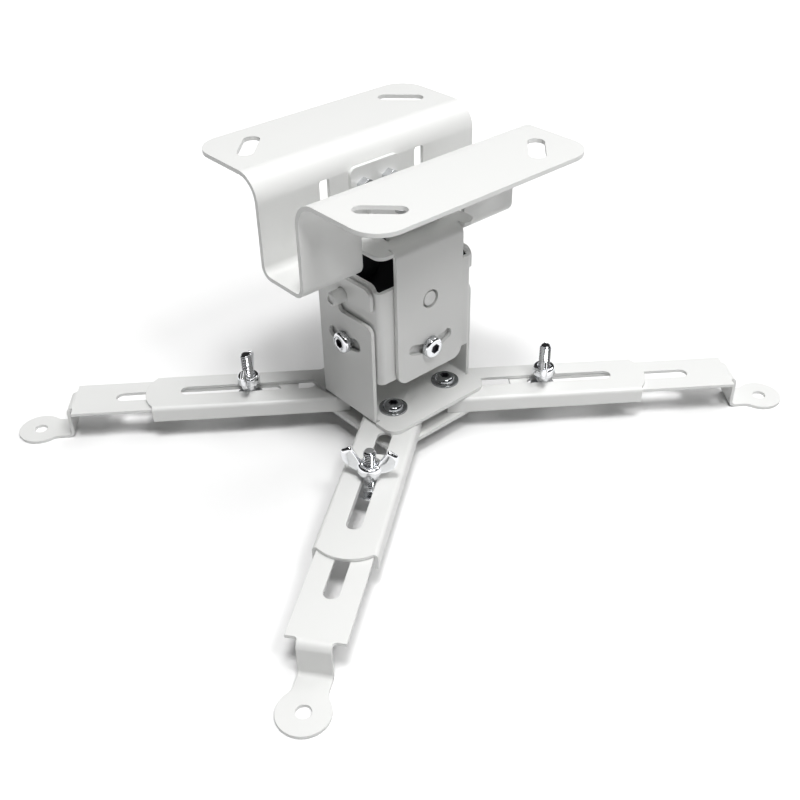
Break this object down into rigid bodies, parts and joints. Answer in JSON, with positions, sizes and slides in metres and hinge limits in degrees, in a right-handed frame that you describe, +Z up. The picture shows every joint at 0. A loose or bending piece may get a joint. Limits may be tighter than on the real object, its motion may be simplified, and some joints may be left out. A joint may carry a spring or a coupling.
{
  "type": "projector ceiling mount",
  "caption": "White steel projector ceiling mount: a folded ceiling channel, a tilting and rolling head and swivelling telescopic arms with eyelet feet.",
  "frame": {"origin": "on the floor under the middle of the mount, which stands on its four eyelet feet", "axes": "+Z up to the ceiling, +X along the channel of the ceiling plate, +Y across it to the rear"},
  "size_m": [0.3303, 0.2632, 0.15],
  "materials": {
    "powder_coat": "smooth glossy white powder coat on folded sheet steel",
    "painted_pin": "white painted turned pin",
    "bright_bolt": "bright zinc plated bolt",
    "zinc_nut": "zinc plated hexagon nut",
    "zinc_washer": "zinc plated flat washer",
    "bright_wing_nut": "bright plated pressed wing nut"
  },
  "bodies": {
    "ceiling": {"ceiling_plate": "powder_coat", "front_cheek": "powder_coat", "rear_cheek": "powder_coat", "cheek_bolts": "bright_bolt", "cheek_nuts": "zinc_nut"},
    "tilt_head": {"tilt_box": "powder_coat", "tilt_pins": "painted_pin", "tilt_clamp_bolts": "bright_bolt", "tilt_clamp_washers": "zinc_washer", "tilt_clamp_nuts": "zinc_nut", "roll_studs": "painted_pin", "roll_clamp_bolts": "bright_bolt", "roll_clamp_washers": "zinc_washer", "roll_clamp_nuts": "zinc_nut"},
    "hub": {"lower_bracket": "powder_coat", "clamp_plate": "powder_coat", "arm_screws": "bright_bolt", "arm_nuts": "zinc_nut"},
    "inner_front_left": {"inner_arm_front_left": "powder_coat"},
    "outer_front_left": {"outer_arm_front_left": "powder_coat"},
    "bolt_front_left": {"clamp_bolt_front_left": "bright_bolt"},
    "wing_front_left": {"wing_nut_front_left": "bright_wing_nut"},
    "inner_front_right": {"inner_arm_front_right": "powder_coat"},
    "outer_front_right": {"outer_arm_front_right": "powder_coat"},
    "bolt_front_right": {"clamp_bolt_front_right": "bright_bolt"},
    "wing_front_right": {"wing_nut_front_right": "bright_wing_nut"},
    "inner_rear_left": {"inner_arm_rear_left": "powder_coat"},
    "outer_rear_left": {"outer_arm_rear_left": "powder_coat"},
    "bolt_rear_left": {"clamp_bolt_rear_left": "bright_bolt"},
    "wing_rear_left": {"wing_nut_rear_left": "bright_wing_nut"},
    "inner_rear_right": {"inner_arm_rear_right": "powder_coat"},
    "outer_rear_right": {"outer_arm_rear_right": "powder_coat"},
    "bolt_rear_right": {"clamp_bolt_rear_right": "bright_bolt"},
    "wing_rear_right": {"wing_nut_rear_right": "bright_wing_nut"}
  },
  "joints": [
    {"name": "tilt", "type": "hinge", "parent": "ceiling", "child": "tilt_head", "pos_m": [0, 0, 0.0825], "axis": [0, 1, 0], "range_deg": [-15, 15]},
    {"name": "roll", "type": "hinge", "parent": "tilt_head", "child": "hub", "pos_m": [0, 0, 0.0865], "axis": [1, 0, 0], "range_deg": [-15, 15]},
    {"name": "swivel_front_left", "type": "hinge", "parent": "hub", "child": "inner_front_left", "pos_m": [-0.0178, -0.0178, 0.02], "axis": [0, 0, 1], "range_deg": [-35, 50]},
    {"name": "extend_front_left", "type": "slide", "parent": "inner_front_left", "child": "outer_front_left", "axis": [-0.7976, -0.6032, 0], "range_m": [-0.0213, 0.0262]},
    {"name": "clamp_front_left", "type": "slide", "parent": "inner_front_left", "child": "bolt_front_left", "axis": [-0.7976, -0.6032, 0], "range_m": [-0.02023, 0.02489]},
    {"name": "wing_front_left", "type": "hinge", "parent": "bolt_front_left", "child": "wing_front_left", "pos_m": [-0.05927, -0.04917, 0.025], "axis": [0, 0, 1], "continuous": true},
    {"name": "swivel_front_right", "type": "hinge", "parent": "hub", "child": "inner_front_right", "pos_m": [0.0178, -0.0178, 0.02], "axis": [0, 0, 1], "range_deg": [-50, 35]},
    {"name": "extend_front_right", "type": "slide", "parent": "inner_front_right", "child": "outer_front_right", "axis": [0.7976, -0.6032, 0], "range_m": [-0.0232, 0.0243]},
    {"name": "clamp_front_right", "type": "slide", "parent": "inner_front_right", "child": "bolt_front_right", "axis": [0.7976, -0.6032, 0], "range_m": [-0.02204, 0.02309]},
    {"name": "wing_front_right", "type": "hinge", "parent": "bolt_front_right", "child": "wing_front_right", "pos_m": [0.05927, -0.04917, 0.025], "axis": [0, 0, 1], "continuous": true},
    {"name": "swivel_rear_left", "type": "hinge", "parent": "hub", "child": "inner_rear_left", "pos_m": [-0.0178, 0.0178, 0.02], "axis": [0, 0, 1], "range_deg": [-50, 35]},
    {"name": "extend_rear_left", "type": "slide", "parent": "inner_rear_left", "child": "outer_rear_left", "axis": [-0.7976, 0.6032, 0], "range_m": [-0.0153, 0.0322]},
    {"name": "clamp_rear_left", "type": "slide", "parent": "inner_rear_left", "child": "bolt_rear_left", "axis": [-0.7976, 0.6032, 0], "range_m": [-0.01453, 0.03059]},
    {"name": "wing_rear_left", "type": "hinge", "parent": "bolt_rear_left", "child": "wing_rear_left", "pos_m": [-0.05927, 0.04917, 0.025], "axis": [0, 0, 1], "continuous": true},
    {"name": "swivel_rear_right", "type": "hinge", "parent": "hub", "child": "inner_rear_right", "pos_m": [0.0178, 0.0178, 0.02], "axis": [0, 0, 1], "range_deg": [-35, 50]},
    {"name": "extend_rear_right", "type": "slide", "parent": "inner_rear_right", "child": "outer_rear_right", "axis": [0.7976, 0.6032, 0], "range_m": [-0.02, 0.0275]},
    {"name": "clamp_rear_right", "type": "slide", "parent": "inner_rear_right", "child": "bolt_rear_right", "axis": [0.7976, 0.6032, 0], "range_m": [-0.019, 0.02612]},
    {"name": "wing_rear_right", "type": "hinge", "parent": "bolt_rear_right", "child": "wing_rear_right", "pos_m": [0.05927, 0.04917, 0.025], "axis": [0, 0, 1], "continuous": true}
  ],
  "couplings": [
    {"joint": "clamp_front_left", "follows": "extend_front_left", "ratio": 0.95},
    {"joint": "clamp_front_right", "follows": "extend_front_right", "ratio": 0.95},
    {"joint": "clamp_rear_left", "follows": "extend_rear_left", "ratio": 0.95},
    {"joint": "clamp_rear_right", "follows": "extend_rear_right", "ratio": 0.95}
  ]
}
